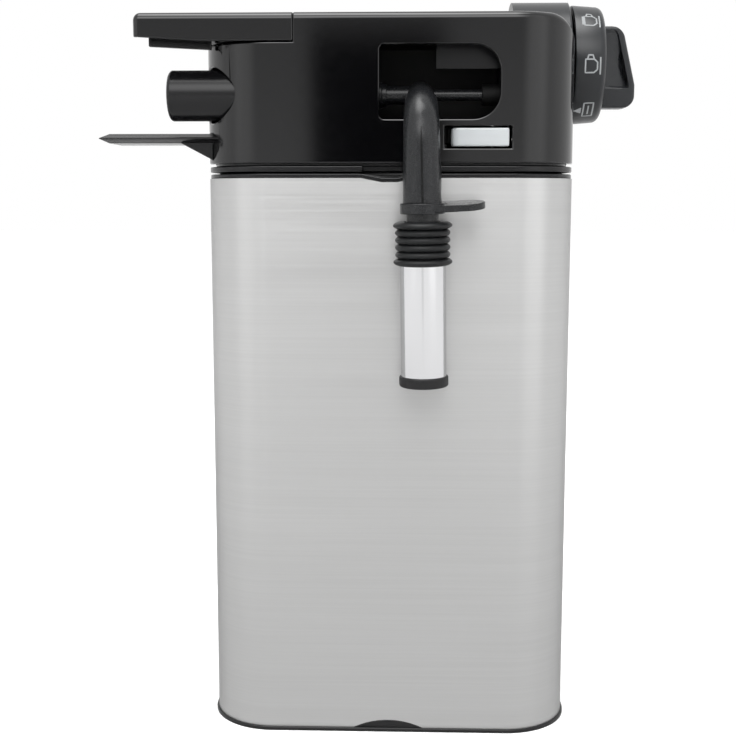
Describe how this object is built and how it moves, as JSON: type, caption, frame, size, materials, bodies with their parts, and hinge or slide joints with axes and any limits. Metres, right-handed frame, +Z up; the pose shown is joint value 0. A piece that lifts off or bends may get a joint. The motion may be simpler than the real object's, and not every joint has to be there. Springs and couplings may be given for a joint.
{
  "type": "insulated milk carafe with frothing head",
  "caption": "Insulated steel milk carafe with a lift-off black frothing head, docking tongue, steam port, froth dial and swinging, telescoping milk spout.",
  "frame": {"origin": "centre of the flat underside that the carafe stands on", "axes": "+Z up; -Y is the long side with the milk spout; -X is the end that docks on the machine; +X is the end with the froth dial"},
  "size_m": [0.1781, 0.1137, 0.2442],
  "materials": {
    "shell_steel": "satin",
    "vessel_steel": "satin",
    "small_steel": "satin",
    "sleeve_chrome": "polished",
    "base_black": "satin",
    "head_gloss": "gloss",
    "dock_black": "satin",
    "inner_black": "matte",
    "spout_grey": "satin",
    "dial_grey": "satin",
    "button_silver": "satin",
    "grip_rubber": "matte",
    "seal_rubber": "matte",
    "clear_silicone": "satin",
    "felt": "matte"
  },
  "bodies": {
    "container": {"outer_shell": "shell_steel", "base_pan": "base_black", "foot_pads": "seal_rubber", "base_screws": "small_steel", "vessel_cradle": "inner_black", "inner_vessel": "vessel_steel", "insulation_jacket": "felt", "collar": "dock_black", "collar_gasket": "seal_rubber"},
    "head": {"head_chassis": "dock_black", "plug_seal": "seal_rubber", "chassis_screws": "small_steel", "head_cover": "head_gloss", "docking_plate": "head_gloss", "docking_rail": "dock_black", "docking_tongue": "dock_black", "steam_connector": "dock_black", "connector_seal": "seal_rubber", "venturi_nozzle": "inner_black", "mixing_chamber": "inner_black", "milk_riser": "inner_black", "hose_nipple": "inner_black", "dip_tube": "clear_silicone", "dip_tube_foot": "small_steel", "spout_bay": "inner_black", "bay_baffle": "dock_black", "spout_bush": "spout_grey", "spout_pivot_pin": "spout_grey", "air_tube": "clear_silicone", "froth_valve": "inner_black", "dial_boss": "dial_grey", "latch_pins": "small_steel", "latch_springs": "small_steel"},
    "froth_dial": {"dial_knob": "dial_grey", "dial_stem": "inner_black", "dial_o_ring": "seal_rubber"},
    "spout": {"spout_elbow": "spout_grey", "spout_flange": "spout_grey", "outlet_tube": "spout_grey", "sleeve_o_ring": "seal_rubber"},
    "sleeve": {"chrome_sleeve": "sleeve_chrome", "glide_ring": "spout_grey", "ribbed_grip": "grip_rubber", "sleeve_end_ring": "seal_rubber"},
    "release_front": {"button_cap_front": "button_silver", "release_lever_front": "inner_black"},
    "release_rear": {"button_cap_rear": "button_silver", "release_lever_rear": "inner_black"}
  },
  "joints": [
    {"name": "head_lift", "type": "slide", "parent": "container", "child": "head", "axis": [0, 0, 1], "range_m": [0, 0.18]},
    {"name": "froth_dial_turn", "type": "hinge", "parent": "head", "child": "froth_dial", "pos_m": [0.066, 0, 0.2232], "axis": [1, 0, 0], "range_deg": [-96, 96]},
    {"name": "spout_swing", "type": "hinge", "parent": "head", "child": "spout", "pos_m": [0.0099, -0.0335, 0.2106], "axis": [-1, 0, 0], "range_deg": [0, 25]},
    {"name": "sleeve_slide", "type": "slide", "parent": "spout", "child": "sleeve", "axis": [0.0143, 0.035, -0.9993], "range_m": [0, 0.025]},
    {"name": "release_front_press", "type": "hinge", "parent": "head", "child": "release_front", "pos_m": [0.0165, -0.0395, 0.1965], "axis": [0, 0, 1], "range_deg": [0, 6], "stiffness_Nm_per_rad": 0.4, "springref_deg": -5.73},
    {"name": "release_rear_press", "type": "hinge", "parent": "head", "child": "release_rear", "pos_m": [0.0165, 0.0395, 0.1965], "axis": [0, 0, -1], "range_deg": [0, 6], "stiffness_Nm_per_rad": 0.4, "springref_deg": -5.73}
  ]
}
